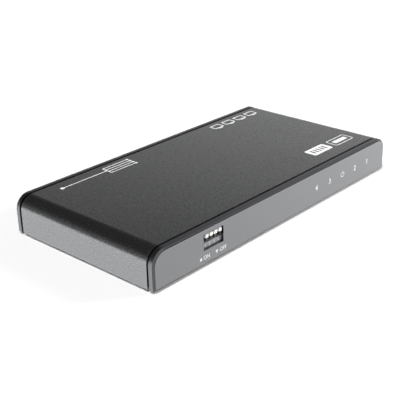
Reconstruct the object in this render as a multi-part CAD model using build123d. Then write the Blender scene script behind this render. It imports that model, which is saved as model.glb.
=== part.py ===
from build123d import *

import os

# A one-in, four-out digital video splitter in a slim aluminium case.
#
# The cover is an inverted channel, extruded, with a groove inside each foot that holds the base plate.
# A moulded bezel plugs into each end, screwed from below, and carries a thin panel on its outer face.
# The circuit board stands on the base plate: five video sockets and a power jack face the rear, and a
# four-way slide switch and five lamps face the front.
#
# Millimetres. X runs along the front, Y from the front to the rear, Z up from the surface it stands on.

# case
case_width = 156.0
case_depth = 80.0  # over the two bezels' shoulders, without the panels
case_height = 16.0
corner_radius = 6.3
cover_wall = 1.2
cover_edge_break = 0.1
groove_rib = 0.8  # the two ribs that hold the base plate's edge
groove_reach = 1.6
slide_clearance = 0.1
fit_clearance = 0.03  # between pieces that seat in each other

# base plate and feet
base_thickness = 1.2
foot_width = 10.0
foot_corner = 2.0
foot_thickness = 2.0
foot_taper = 0.5
foot_inset_x = 22.0
foot_inset_y = 12.0

# bezels
bezel_depth = 2.4
seam_gap = 1.0
bevel_depth = 0.45
bevel_width = 0.8
bezel_wall = 1.6
plug_length = 4.0
plug_wall = 1.2
plug_clearance = 0.15
boss_width = 6.4
boss_length = 8.4
boss_height = 6.5
boss_board_gap = 0.5
boss_screw_setback = 3.2  # from the boss's inner end to its screw

# panels
panel_thickness = 0.8
panel_proud = 0.15
panel_margin = 1.0
panel_bottom_margin = 0.6
panel_clearance = 0.1
panel_edge_break = 0.1

# case screws, countersunk
case_screw_radius = 1.0
case_screw_head_radius = 1.9
case_screw_length = 6.0
cross_width = 0.5
cross_span_share = 0.62  # of the head's width
cross_depth = 0.6

# circuit board
board_thickness = 1.6
board_side_gap = 1.4
board_front_gap = 1.2
board_rear_gap = 2.6
standoff_height = 1.0
hexagon_sides = 6
standoff_barrel_radius = 2.3  # to the flats
standoff_head_radius = 2.7  # to the flats, where it is pressed into the base plate
board_screw_radius = 1.25
board_screw_head_radius = 2.2
board_screw_head_height = 1.5
board_screw_hole_clearance = 0.15
board_screw_inset_x = 8.0
board_screw_inset_y = 11.0
solder_tail = 0.8  # how far a leg stands out below the board
leg_hole_clearance = 0.12

# video sockets
socket_count = 5
opening_width = 14.0
opening_height = 4.55
opening_foot_width = 10.2
opening_side_height = 2.35
opening_corner = 0.35
shell_sheet = 0.3
shell_length = 11.0
shell_lip = 0.4
socket_setback = 0.2
socket_hole_clearance = 0.2
bezel_hole_clearance = 0.5
spring_width = 1.6
spring_length = 4.6
spring_offset = 3.0
spring_slot = 0.35
spring_dip = 0.35
spring_root_setback = 1.6
spring_tip_length = 0.8
shell_leg_width = 1.2
shell_leg_setback_front = 5.6
shell_leg_setback_rear = 9.2
insulator_block = 3.0
tongue_width = 10.8
tongue_thickness = 1.2
tongue_setback = 1.0
tongue_lift = 0.15
contact_pitch = 1.0
upper_contacts = 10
lower_contacts = 9
contact_width = 0.3
contact_thickness = 0.15
contact_proud = 0.05
contact_tip_setback = 0.5
contact_back_gap = 0.3

# power jack
jack_width = 9.0
jack_depth = 13.5
jack_top_gap = 0.4
jack_bore_radius = 2.95
jack_bore_depth = 9.5
jack_nose_radius = 3.8
jack_nose_length = 2.4
jack_hole_clearance = 0.25
jack_notch_clearance = 0.3  # in the plug of the bezel, over the jack
jack_pin_radius = 1.0
jack_pin_setback = 0.8
jack_pin_shank_radius = 0.7  # where the housing holds it
jack_spring_width = 2.4
jack_spring_sheet = 0.3
jack_spring_reach = 0.6
jack_terminal_width = 2.2
jack_terminal_sheet = 0.4

# slide switch, four ways
switch_ways = 4
switch_pitch = 2.54
switch_end = 0.77  # the housing beyond the outer ways, over half a pitch
switch_way_shift = 0.3  # of the four ways to the right in the housing
switch_depth = 6.0
switch_top_gap = 0.1  # under the plug of the bezel
switch_setback = 1.25
switch_inset = 32.8  # from the case's left side to the switch's centre
switch_face = 0.9
switch_recess = 0.3  # of the face about the slots
switch_recess_rim = 0.5
switch_recess_margin = 0.4
switch_roof = 0.45  # the housing over its channels
switch_lap_side = 0.12  # how far the panel's window hides the housing
switch_lap_top = 0.35
switch_lap_bottom = 1.6
switch_wall_gap = 0.3
knob_width = 1.5
knob_height = 1.6
knob_proud = 1.2
knob_travel = 1.8
knob_clearance = 0.1
knob_edge = 0.25
carriage_width = 1.8
carriage_height = 2.2
carriage_depth = 1.4
terminal_width = 0.6
terminal_sheet = 0.3

# lamps: chips on the board, and clear guides that bring their light to the panel
lamp_count = 5
lamp_pitch = 10.05
lamp_end_offset = 15.3
guide_height = 3.1  # its middle above the board
guide_width = 3.2
guide_thickness = 2.6
guide_leg = 1.6
guide_lamp_gap = 0.15
guide_panel_gap = 0.15
guide_wall_clearance = 0.2
lamp_length = 1.6
lamp_width = 0.8
lamp_thickness = 0.6
holder_rim = 0.9
holder_gap = 0.1
holder_peg = 1.0

# parts on the board
chip_size = 12.0
chip_thickness = 1.2
chip_edge = 0.15
pad_thickness = 0.5
sink_width = 28.0
sink_depth = 26.0
sink_base = 1.8
sink_fins = 9
sink_fin_thickness = 1.0
sink_top_gap = 1.5
small_chip_length = 6.6
small_chip_width = 4.4
small_chip_thickness = 1.1
small_chip_lift = 0.1
lead_count = 4
lead_pitch = 1.27
lead_width = 0.4
lead_sheet = 0.15
lead_reach = 1.0
coil_size = 7.0
coil_height = 3.4
coil_corner = 1.6
coil_neck = 0.5
can_radius = 3.15
can_height = 5.6
can_base = 6.6
can_base_height = 0.9
can_base_corner = 1.2
crystal_length = 11.0
crystal_width = 4.6
crystal_height = 3.4
part_gap = 5.0  # between neighbouring parts on the board

# heights worked out from the sizes above
case_bottom = foot_thickness - groove_rib
case_top = case_bottom + case_height
underside = case_top - cover_wall
base_bottom = case_bottom + groove_rib
base_top = base_bottom + base_thickness
groove_top = base_top + slide_clearance
rib_top = groove_top + groove_rib
board_bottom = base_top + standoff_height
board_top = board_bottom + board_thickness
leg_bottom = board_bottom - min(solder_tail, standoff_height / 2)
headroom = underside - board_top

# places along X and Y worked out from the sizes above
half_width = case_width / 2
half_depth = case_depth / 2
cover_half_depth = half_depth - bezel_depth - seam_gap
plug_inset = cover_wall + plug_clearance
plug_inner_half = half_width - plug_inset - plug_wall
plug_ceiling = case_top - plug_inset - plug_wall
wall_back = half_depth - bezel_wall
panel_outer = half_depth + panel_proud
panel_inner = panel_outer - panel_thickness
board_half_width = plug_inner_half - board_side_gap
board_front = -(wall_back - board_front_gap)
board_rear = wall_back - board_rear_gap
boss_x = plug_inner_half - boss_width / 2
boss_end = wall_back - boss_length
boss_screw_y = boss_end + boss_screw_setback
base_half_width = half_width - cover_wall - slide_clearance
board_screws_at = [
    (side * (board_half_width - board_screw_inset_x), y)
    for side in (-1, 1)
    for y in (board_front + board_screw_inset_y, board_rear - board_screw_inset_y)
]
case_screws_at = [(sx * boss_x, sy * boss_screw_y) for sx in (-1, 1) for sy in (-1, 1)]
feet_at = {
    f"foot_{end}_{side}": (
        sx * (base_half_width - foot_inset_x),
        sy * (cover_half_depth - foot_inset_y),
    )
    for end, sy in (("front", -1), ("rear", 1))
    for side, sx in (("left", -1), ("right", 1))
}

# the jack and the sockets share the rear wall between the bosses, with equal gaps
shell_width = opening_width + 2 * shell_sheet
rear_room = 2 * (plug_inner_half - boss_width)
rear_gap = (rear_room - jack_width - socket_count * shell_width) / (socket_count + 2)
jack_x = -rear_room / 2 + rear_gap + jack_width / 2
first_socket_x = jack_x + jack_width / 2 + rear_gap + shell_width / 2
socket_mouth = panel_outer - socket_setback
socket_back = socket_mouth - shell_length
socket_floor = board_top + fit_clearance + shell_sheet
socket_middle = socket_floor + opening_height / 2
tongue_middle = socket_middle + tongue_lift
tongue_tip = socket_mouth - tongue_setback
socket_names = ["video_out_4", "video_out_3", "video_in", "video_out_2", "video_out_1"]
sockets_at = {
    name: first_socket_x + place * (shell_width + rear_gap)
    for place, name in enumerate(socket_names)
}

# power jack
jack_height = headroom - jack_top_gap
jack_bore_z = board_top + jack_height / 2
jack_mouth = panel_outer - socket_setback
jack_face = jack_mouth - jack_nose_length
jack_back = jack_face - jack_depth
jack_bore_end = jack_mouth - jack_bore_depth

# slide switch
switch_x = -half_width + switch_inset
switch_width = switch_ways * switch_pitch + 2 * switch_end
switch_top = plug_ceiling - switch_top_gap
switch_front = -panel_outer + switch_setback
switch_back = switch_front + switch_depth
channel_front = switch_front + switch_face
channel_depth = carriage_depth + 2 * knob_clearance
channel_back = channel_front + channel_depth
slot_height = knob_height + knob_travel + 2 * knob_clearance
channel_height = carriage_height + knob_travel + 2 * knob_clearance
slot_middle = switch_top - switch_roof - channel_height / 2
knob_up = slot_middle + knob_travel / 2
first_way_x = switch_x + switch_way_shift - (switch_ways - 1) / 2 * switch_pitch
ways_at = [first_way_x + way * switch_pitch for way in range(switch_ways)]

# lamps
guide_z = board_top + guide_height
guide_front = -panel_inner + guide_panel_gap
holder_front = -wall_back + holder_gap
lamp_y = board_front + guide_leg
guide_back = lamp_y + guide_leg / 2
holder_back = guide_back + holder_gap + holder_rim
holder_reach = guide_width / 2 + holder_gap + holder_rim
lamp_names = ["4", "3", "power", "2", "1"]
lamps_at = {
    name: half_width - lamp_end_offset - (lamp_count - 1 - place) * lamp_pitch
    for place, name in enumerate(lamp_names)
}

# the chip under the heat sink is midway between the board's front edge and the sockets
sink_y = (board_front + socket_back) / 2

# the supply's parts stand in two rows in front of the jack
row_y = [jack_back - part_gap - coil_size / 2, jack_back - 2 * part_gap - coil_size * 3 / 2]
can_x = jack_x + coil_size / 2 + part_gap + can_base / 2
regulator_x = can_x + can_base / 2 + part_gap
control_x = sink_width / 2 + part_gap + small_chip_length
crystal_x = control_x + small_chip_length / 2 + part_gap + crystal_length / 2
small_chips_at = {
    "control_chip": [(control_x, sink_y)],
    "regulator_chips": [(regulator_x, y) for y in row_y],
}


def block(x, y, z):
    """A box from three (low, high) pairs."""
    lows, highs = zip(x, y, z)
    size = [high - low for low, high in zip(lows, highs)]
    middle = [(high + low) / 2 for low, high in zip(lows, highs)]
    return Pos(*middle) * Box(*size)


def along_y(outline, y_from, y_to):
    """An outline drawn in X and Z, carried from one Y to a greater one."""
    return extrude(Plane.XZ.offset(-y_to) * outline, y_to - y_from, dir=(0, -1, 0))


def along_x(outline, x_from, x_to):
    """An outline drawn in Y and Z, carried from one X to a greater one."""
    return extrude(Plane.YZ.offset(x_from) * outline, x_to - x_from, dir=(1, 0, 0))


def along_z(outline, z_from, z_to):
    """An outline drawn in X and Y, carried from one height to a greater one."""
    return extrude(Plane.XY.offset(z_from) * outline, z_to - z_from, dir=(0, 0, 1))


def rod(radius, x, y, z_from, z_to):
    """An upright cylinder."""
    return along_z(Pos(x, y) * Circle(radius), z_from, z_to)


def rod_y(radius, x, z, y_from, y_to):
    """A cylinder along Y."""
    return along_y(Pos(x, z) * Circle(radius), y_from, y_to)


def case_outline(inset, bottom):
    """The case's cross-section set in from its outside: square below, round at its two upper corners."""
    top = case_top - inset
    sheet = Pos(0, (top + bottom) / 2) * Rectangle(case_width - 2 * inset, top - bottom)
    return fillet(sheet.vertices().group_by(Axis.Y)[-1], corner_radius - inset)


def cover_edge(edge):
    """True for an edge of the cover's end that lies on its outer surface."""
    middle = edge @ 0.5
    return (
        abs(middle.X) > half_width - cover_wall / 2
        or middle.Z > case_top - cover_wall / 2
        or (edge.geom_type == GeomType.CIRCLE and edge.radius > corner_radius - cover_wall / 2)
    ) and middle.Z > case_bottom


def make_top_cover():
    """The extruded channel, with the two ribs of the base plate's groove inside each foot."""
    wall = case_outline(0, case_bottom) - case_outline(cover_wall, case_bottom)
    cover = along_y(wall, -cover_half_depth, cover_half_depth)
    inner = half_width - cover_wall
    for side in (-1, 1):
        x = sorted((side * (inner - groove_reach), side * (half_width - cover_wall / 2)))
        for z in ((case_bottom, base_bottom), (groove_top, rib_top)):
            cover += block(x, (-cover_half_depth, cover_half_depth), z)
    ends = [cover.faces().sort_by(Axis.Y)[place] for place in (0, -1)]
    edges = [edge for end in ends for edge in end.edges() if cover_edge(edge)]
    return chamfer(edges, cover_edge_break)


def cross_recess(radius, x, y, z_from, z_to):
    """The cross that a screwdriver turns, cut from z_from to z_to."""
    span = 2 * radius * cross_span_share
    arms = Rectangle(span, cross_width) + Rectangle(cross_width, span)
    return along_z(Pos(x, y) * arms, z_from, z_to)


def countersink(radius, head_radius, x, y):
    """A countersunk head with its shank's top, flush with the base plate's underside."""
    profile = Polygon(
        (0, 0),
        (head_radius, 0),
        (radius, head_radius - radius),
        (0, head_radius - radius),
        align=None,
    )
    return Pos(x, y, base_bottom) * revolve(Plane.XZ * profile, Axis.Z)


def make_base_plate():
    """The plate that slides into the cover's grooves, with its countersunk and standoff holes."""
    plate = block(
        (-base_half_width, base_half_width),
        (-cover_half_depth, cover_half_depth),
        (base_bottom, base_top),
    )
    for x, y in case_screws_at:
        hole = case_screw_radius + slide_clearance
        plate -= rod(hole, x, y, base_bottom, base_top)
        plate -= countersink(hole, case_screw_head_radius + slide_clearance, x, y)
    for x, y in board_screws_at:
        plate -= hexagon(standoff_head_radius, x, y, base_bottom, base_top)
    return plate


def hexagon(radius, x, y, z_from, z_to):
    """An upright hexagonal prism, its radius measured to the flats."""
    outline = RegularPolygon(radius, hexagon_sides, major_radius=False)
    return along_z(Pos(x, y) * outline, z_from, z_to)


def make_standoffs():
    """Four hexagonal standoffs pressed up into the base plate, each tapped for a board screw."""
    hole = board_screw_radius + fit_clearance
    return [
        hexagon(standoff_barrel_radius, x, y, base_top, board_bottom)
        + hexagon(standoff_head_radius - fit_clearance, x, y, base_bottom, base_top)
        - rod(hole, x, y, base_bottom, board_bottom)
        for x, y in board_screws_at
    ]


def make_board_screws():
    """Four pan-headed screws through the board into the standoffs."""
    screws = []
    for x, y in board_screws_at:
        head_top = board_top + board_screw_head_height
        screw = rod(board_screw_head_radius, x, y, board_top, head_top)
        screw += rod(board_screw_radius, x, y, base_bottom + fit_clearance, board_top)
        screws.append(
            screw - cross_recess(board_screw_head_radius, x, y, head_top - cross_depth, head_top)
        )
    return screws


def make_case_screws():
    """Four countersunk screws up through the base plate into the bezels' bosses."""
    screws = []
    for x, y in case_screws_at:
        screw = countersink(case_screw_radius, case_screw_head_radius, x, y)
        screw += rod(case_screw_radius, x, y, base_bottom, base_bottom + case_screw_length)
        screws.append(
            screw
            - cross_recess(case_screw_head_radius, x, y, base_bottom, base_bottom + cross_depth)
        )
    return screws


def make_foot(x, y):
    """A stuck-on rubber pad with cut corners, tapered towards the surface it stands on."""
    outline = Rectangle(foot_width, foot_width)
    outline = chamfer(outline.vertices(), foot_corner)
    foot = along_z(Pos(x, y) * outline, 0, foot_thickness)
    return chamfer(foot.edges().group_by(Axis.Z)[0], foot_thickness / 3, foot_taper)


def make_bezel():
    """The bezel as it faces the front: a bevelled plate, a plug for the cover's end and two screw bosses."""
    ring = along_y(case_outline(0, case_bottom), -half_depth, -half_depth + bezel_depth)
    face = ring.faces().sort_by(Axis.Y)[0]
    bezel = chamfer(face.edges(), bevel_width, bevel_depth, reference=face)
    plug_floor = rib_top + plug_clearance
    plug_end = -half_depth + bezel_depth + plug_length
    bezel += along_y(case_outline(plug_inset, plug_floor), -wall_back, plug_end)
    hollow = case_outline(plug_inset + plug_wall, plug_floor)
    bezel -= along_y(hollow, -wall_back, plug_end)
    for side in (-1, 1):
        floor = base_top + slide_clearance
        boss_top = base_top + boss_height
        inner = side * (boss_x - boss_width / 2)
        upper = sorted((inner, side * (plug_inner_half + plug_wall / 2)))
        lower = sorted((inner, side * (boss_x + boss_width / 4)))
        bezel += block(upper, (-wall_back, -boss_end), (plug_floor, boss_top))
        bezel += block(lower, (-wall_back, -boss_end), (floor, plug_floor))
        hole = case_screw_radius + fit_clearance
        bezel -= rod(hole, side * boss_x, -boss_screw_y, floor, boss_top - plug_wall / 2)
    pocket_bottom = case_bottom + panel_bottom_margin - panel_clearance
    pocket = case_outline(panel_margin - panel_clearance, pocket_bottom)
    return bezel - along_y(pocket, -half_depth, -panel_inner)


def make_panel():
    """The blank plate of either end, as it faces the front."""
    outline = case_outline(panel_margin, case_bottom + panel_bottom_margin)
    panel = along_y(outline, -panel_outer, -panel_inner)
    return chamfer(panel.faces().sort_by(Axis.Y)[0].edges(), panel_edge_break)


def switch_window(side_margin, bottom, top):
    """A hole's outline in front of the slide switch, wider than the switch by a margin at each side."""
    window = Rectangle(switch_width + 2 * side_margin, top - bottom)
    return Pos(switch_x, (top + bottom) / 2) * window


def make_front_bezel():
    """The front bezel, with room for the switch's housing and the lamps."""
    window = switch_window(
        switch_wall_gap, board_top - switch_wall_gap, switch_top + switch_wall_gap
    )
    bezel = make_bezel() - along_y(window, -half_depth, -wall_back)
    width = guide_width + 2 * guide_wall_clearance
    height = guide_thickness + 2 * guide_wall_clearance
    for x in lamps_at.values():
        bezel -= along_y(Pos(x, guide_z) * Rectangle(width, height), -half_depth, -wall_back)
    return bezel


def make_front_panel():
    """The front panel, with the window through which the switch is set."""
    window = switch_window(
        -switch_lap_side, board_top + switch_lap_bottom, switch_top - switch_lap_top
    )
    return make_panel() - along_y(window, -panel_outer, -panel_inner)


def socket_outline(growth=0):
    """The socket's opening about its own centre, grown all round: wide above, narrow at its foot."""
    top = opening_height / 2
    shoulder = top - opening_side_height
    outline = Polygon(
        (-opening_width / 2, top),
        (opening_width / 2, top),
        (opening_width / 2, shoulder),
        (opening_foot_width / 2, -top),
        (-opening_foot_width / 2, -top),
        (-opening_width / 2, shoulder),
        align=None,
    )
    outline = chamfer(outline.vertices(), opening_corner)
    return offset(outline, growth, kind=Kind.INTERSECTION) if growth else outline


def socket_place(x):
    """Where a socket's outline is drawn."""
    return Pos(x, socket_middle)


def rear_holes(clearance, y_from, y_to):
    """The holes of a rear wall: one about each socket's lip, and one about the jack's nose."""
    opening = socket_outline(shell_sheet + shell_lip + clearance)
    holes = [along_y(socket_place(x) * opening, y_from, y_to) for x in sockets_at.values()]
    jack = rod_y(jack_nose_radius + jack_hole_clearance, jack_x, jack_bore_z, y_from, y_to)
    return [*holes, jack]


def make_rear_bezel():
    """The rear bezel: the front one turned round, with the sockets' and the jack's holes."""
    bezel = mirror(make_bezel(), Plane.XZ)
    for hole in rear_holes(bezel_hole_clearance, wall_back, half_depth):
        bezel -= hole
    half = jack_width / 2 + jack_notch_clearance
    notch_y = (half_depth - bezel_depth - plug_length, wall_back)
    return bezel - block((jack_x - half, jack_x + half), notch_y, (plug_ceiling, underside))


def make_rear_panel():
    """The rear panel, with close holes about the sockets and the jack."""
    panel = mirror(make_panel(), Plane.XZ)
    for hole in rear_holes(socket_hole_clearance, panel_inner, panel_outer):
        panel -= hole
    return panel


def shell_legs_at(x):
    """The X and Y ranges of a shell's four legs."""
    side_from, side_to = opening_width / 2, opening_width / 2 + shell_sheet
    rows = [socket_mouth - shell_leg_setback_front, socket_mouth - shell_leg_setback_rear]
    return [
        (
            (x + min(side * side_from, side * side_to), x + max(side * side_from, side * side_to)),
            (y - shell_leg_width / 2, y + shell_leg_width / 2),
        )
        for side in (-1, 1)
        for y in rows
    ]


def spring_finger(x, wall_z, inward):
    """A finger of the shell's wall that dips into the opening and turns out again at its tip.

    wall_z is the height of the wall's outer face, and inward is -1 from the roof and 1 from the floor.
    """
    root = socket_mouth - spring_root_setback
    bend = root - spring_length + spring_tip_length
    tip = root - spring_length
    dip = inward * (spring_dip + shell_sheet / 3)
    sheet = inward * shell_sheet
    side = Polygon(
        (root + spring_slot, wall_z),
        (bend, wall_z + dip),
        (tip, wall_z + dip / 2),
        (tip, wall_z + dip / 2 + sheet),
        (bend, wall_z + dip + sheet),
        (root + spring_slot, wall_z + sheet),
        align=None,
    )
    return along_x(side, x - spring_width / 2, x + spring_width / 2)


def make_shell(x):
    """A socket's folded steel shell: its lip, four spring fingers and four legs."""
    opening = socket_place(x) * socket_outline()
    outside = socket_place(x) * socket_outline(shell_sheet)
    lip = socket_place(x) * socket_outline(shell_sheet + shell_lip)
    shell = along_y(outside, socket_back, socket_mouth)
    shell += along_y(lip, socket_mouth - shell_sheet, socket_mouth)
    shell -= along_y(opening, socket_back, socket_mouth)
    root = socket_mouth - spring_root_setback
    roof = socket_middle + opening_height / 2 + shell_sheet
    floor = socket_middle - opening_height / 2 - shell_sheet
    for side in (-1, 1):
        finger_x = x + side * spring_offset
        half_slot = spring_width / 2 + spring_slot
        slot_x = (finger_x - half_slot, finger_x + half_slot)
        slot_y = (root - spring_length - spring_slot, root)
        shell -= block(slot_x, slot_y, (roof - shell_sheet, roof))
        shell -= block(slot_x, slot_y, (floor, floor + shell_sheet))
        shell += spring_finger(finger_x, roof, -1)
        shell += spring_finger(finger_x, floor, 1)
    leg_top = socket_middle + opening_height / 2 - opening_side_height / 2
    for leg_x, leg_y in shell_legs_at(x):
        shell += block(leg_x, leg_y, (leg_bottom, leg_top))
    return shell


def contact(x, run_bottom):
    """A contact blade: along the tongue, out behind the insulator and down to the board."""
    tip = tongue_tip - contact_tip_setback
    drop = socket_back - contact_back_gap
    side = Polygon(
        (tip, run_bottom),
        (tip, run_bottom + contact_thickness),
        (drop - contact_thickness, run_bottom + contact_thickness),
        (drop - contact_thickness, board_top),
        (drop, board_top),
        (drop, run_bottom),
        align=None,
    )
    return along_x(side, x - contact_width / 2, x + contact_width / 2)


def make_contacts(x):
    """Nineteen blades: ten on the tongue's upper side and nine, between them, on its lower side."""
    upper = tongue_middle + tongue_thickness / 2 + contact_proud - contact_thickness
    lower = tongue_middle - tongue_thickness / 2 - contact_proud
    rows = [(upper_contacts, upper), (lower_contacts, lower)]
    return [
        contact(x + (place - (count - 1) / 2) * contact_pitch, height)
        for count, height in rows
        for place in range(count)
    ]


def make_insulator(x, contacts):
    """The moulded block at the shell's back and its tongue, grooved for the contacts."""
    plug = socket_outline(-fit_clearance)
    body = along_y(socket_place(x) * plug, socket_back, socket_back + insulator_block)
    tongue = Pos(x, tongue_middle) * Rectangle(tongue_width, tongue_thickness)
    body += along_y(tongue, socket_back, tongue_tip)
    for blade in contacts:
        body -= blade
    return body


def jack_terminal_places():
    """The X and Y of the middle of each of the jack's terminals."""
    return [
        (jack_x, jack_back + jack_terminal_sheet),
        (jack_x, jack_face - jack_depth / 2),
    ]


def make_jack_housing():
    """The jack's moulded body, with its round nose and blind bore."""
    body = block(
        (jack_x - jack_width / 2, jack_x + jack_width / 2),
        (jack_back, jack_face),
        (board_top, board_top + jack_height),
    )
    upright = body.edges().filter_by(Axis.Y).group_by(Axis.Z)[-1]
    body = chamfer(upright, jack_top_gap)
    body += rod_y(jack_nose_radius, jack_x, jack_bore_z, jack_face, jack_mouth)
    body -= rod_y(jack_bore_radius, jack_x, jack_bore_z, jack_bore_end, jack_mouth)
    body -= rod_y(jack_pin_shank_radius, jack_x, jack_bore_z, jack_back, jack_bore_end)
    body -= spring_space()
    for x, y in jack_terminal_places():
        body -= jack_terminal(x, y)
    return body


def spring_space():
    """The pocket above the bore that holds the jack's spring."""
    half = jack_spring_width / 2 + slide_clearance
    bore_top = jack_bore_z + jack_bore_radius
    return block(
        (jack_x - half, jack_x + half),
        (jack_bore_end, jack_face),
        (jack_bore_z, bore_top + jack_spring_sheet),
    )


def make_jack_spring():
    """The leaf in the roof of the bore, bowed down against the plug."""
    top = jack_bore_z + jack_bore_radius + jack_spring_sheet
    root, tip = jack_bore_end, jack_face - slide_clearance
    bow = root + (tip - root) * 2 / 3
    side = Polygon(
        (root, top),
        (bow, top - jack_spring_reach),
        (tip, top),
        (tip, top - jack_spring_sheet),
        (bow, top - jack_spring_reach - jack_spring_sheet),
        (root, top - jack_spring_sheet),
        align=None,
    )
    half = jack_spring_width / 2
    return along_x(side, jack_x - half, jack_x + half)


def make_jack_pin():
    """The centre pin, rounded at its tip and pressed through the housing's back."""
    tip = jack_mouth - jack_pin_setback
    pin = rod_y(jack_pin_radius, jack_x, jack_bore_z, jack_bore_end, tip)
    pin = chamfer(pin.edges().group_by(Axis.Y)[-1], jack_pin_radius / 3)
    return pin + rod_y(jack_pin_shank_radius, jack_x, jack_bore_z, jack_back, jack_bore_end)


def jack_terminal(x, y):
    """A flat terminal from the housing's floor through the board."""
    half = jack_terminal_width / 2
    sheet = (y - jack_terminal_sheet / 2, y + jack_terminal_sheet / 2)
    return block((x - half, x + half), sheet, (leg_bottom, board_top + jack_terminal_width / 3))


def make_switch_housing():
    """The switch's front half: a recess with a slot for each knob, and its carriage's channel behind."""
    body = block(
        (switch_x - switch_width / 2, switch_x + switch_width / 2),
        (switch_front, channel_back),
        (board_top, switch_top),
    )
    recess_width = switch_width - 2 * switch_recess_rim
    recess = Rectangle(recess_width, slot_height + 2 * switch_recess_margin)
    body -= along_y(Pos(switch_x, slot_middle) * recess, switch_front, switch_front + switch_recess)
    slot = Rectangle(knob_width + 2 * knob_clearance, slot_height)
    channel = Rectangle(carriage_width + 2 * knob_clearance, channel_height)
    for x in ways_at:
        body -= along_y(Pos(x, slot_middle) * slot, switch_front, channel_front)
        body -= along_y(Pos(x, slot_middle) * channel, channel_front, channel_back)
    return body


def switch_terminals():
    """Two flat terminals for each way, from the base's face, back and down through the board."""
    upper = slot_middle + carriage_height / 4
    lower = slot_middle - carriage_height / 2
    blades = []
    for x in ways_at:
        for row, top in ((1, lower), (2, upper)):
            drop = channel_back + row * (switch_back - channel_back) / 3
            side = Polygon(
                (channel_back, top),
                (drop, top),
                (drop, leg_bottom),
                (drop - terminal_sheet, leg_bottom),
                (drop - terminal_sheet, top - terminal_sheet),
                (channel_back, top - terminal_sheet),
                align=None,
            )
            blades.append(along_x(side, x - terminal_width / 2, x + terminal_width / 2))
    return blades


def make_switch_base(terminals):
    """The switch's rear half, which holds its terminals."""
    base = block(
        (switch_x - switch_width / 2, switch_x + switch_width / 2),
        (channel_back, switch_back),
        (board_top, switch_top),
    )
    for blade in terminals:
        base -= blade
    return base


def make_slider(x):
    """One way's slider, up: its knob in the slot and its carriage in the channel behind."""
    knob_face = switch_front - knob_proud
    carriage_front = channel_front + knob_clearance
    knob = block(
        (x - knob_width / 2, x + knob_width / 2),
        (knob_face, carriage_front),
        (knob_up - knob_height / 2, knob_up + knob_height / 2),
    )
    knob = chamfer(knob.faces().sort_by(Axis.Y)[0].edges(), knob_edge)
    return knob + block(
        (x - carriage_width / 2, x + carriage_width / 2),
        (carriage_front, carriage_front + carriage_depth),
        (knob_up - carriage_height / 2, knob_up + carriage_height / 2),
    )


def guide_profile(back, bottom, margin):
    """A light guide's outline in Y and Z, from behind the panel to above its lamp, grown by a margin."""
    top = guide_z + guide_thickness / 2 + margin
    under = guide_z - guide_thickness / 2 - margin
    leg = back - guide_leg - 2 * margin
    return Polygon(
        (guide_front, under),
        (leg, under),
        (leg, bottom),
        (back, bottom),
        (back, top - guide_leg),
        (back - guide_leg, top),
        (guide_front, top),
        align=None,
    )


def make_light_guide(x):
    """A clear bent bar: it takes in the lamp's light below and turns it forward at its sloped back."""
    bottom = board_top + lamp_thickness + guide_lamp_gap
    return along_x(guide_profile(guide_back, bottom, 0), x - guide_width / 2, x + guide_width / 2)


def make_lamps():
    """Five lamp chips on the board, one under each guide."""
    return [
        block(
            (x - lamp_length / 2, x + lamp_length / 2),
            (lamp_y - lamp_width / 2, lamp_y + lamp_width / 2),
            (board_top, board_top + lamp_thickness),
        )
        for x in lamps_at.values()
    ]


def holder_pegs_at():
    """Where the pegs of the guides' bar go into the board, each between an outer guide and the next."""
    places = sorted(lamps_at.values())
    return [((places[0] + places[1]) / 2, lamp_y), ((places[-2] + places[-1]) / 2, lamp_y)]


def holder_peg_place(clearance):
    """The X and Y ranges of the pegs, or of their holes where a clearance is given."""
    half = holder_peg / 2 + clearance
    return [((x - half, x + half), (y - half, y + half)) for x, y in holder_pegs_at()]


def make_guide_holder():
    """The bar that carries the five guides and keeps each lamp's light from the next."""
    places = sorted(lamps_at.values())
    bar = block(
        (places[0] - holder_reach, places[-1] + holder_reach),
        (holder_front, holder_back),
        (board_top, guide_z + guide_thickness / 2 + holder_gap + holder_rim),
    )
    half = guide_width / 2 + holder_gap
    for x in places:
        bar -= along_x(guide_profile(guide_back + holder_gap, board_top, holder_gap), x - half, x + half)
    for x, y in holder_peg_place(0):
        bar += block(x, y, (board_bottom, board_top))
    return bar


def make_main_board():
    """The circuit board, notched round the bosses, with a hole for every leg and screw."""
    board = block(
        (-board_half_width, board_half_width), (board_front, board_rear), (board_bottom, board_top)
    )
    notch = boss_x - boss_width / 2 - boss_board_gap
    notch_y = boss_end - boss_board_gap
    for side in (-1, 1):
        x = sorted((side * notch, side * half_width))
        for y in ((-half_depth, -notch_y), (notch_y, half_depth)):
            board -= block(x, y, (board_bottom, board_top))
    for x, y in board_screws_at:
        hole = board_screw_radius + board_screw_hole_clearance
        board -= rod(hole, x, y, board_bottom, board_top)
    for x, y in holder_peg_place(fit_clearance):
        board -= block(x, y, (board_bottom, board_top))
    for x, y in leg_holes():
        grown_x = (x[0] - leg_hole_clearance, x[1] + leg_hole_clearance)
        grown_y = (y[0] - leg_hole_clearance, y[1] + leg_hole_clearance)
        board -= block(grown_x, grown_y, (board_bottom, board_top))
    return board


def leg_holes():
    """The X and Y range of each leg that goes through the board."""
    ranges = [leg for x in sockets_at.values() for leg in shell_legs_at(x)]
    ranges += [ranges_below(blade) for blade in switch_terminals()]
    ranges += [ranges_below(jack_terminal(x, y)) for x, y in jack_terminal_places()]
    return ranges


def ranges_below(leg):
    """The X and Y range of a leg's lowest face."""
    box = leg.faces().sort_by(Axis.Z)[0].bounding_box()
    return (box.min.X, box.max.X), (box.min.Y, box.max.Y)


def chip(length, width, z_from, thickness, x, y):
    """A moulded chip body with a bevelled upper edge."""
    body = along_z(Pos(x, y) * Rectangle(length, width), z_from, z_from + thickness)
    return chamfer(body.edges().group_by(Axis.Z)[-1], chip_edge)


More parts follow.
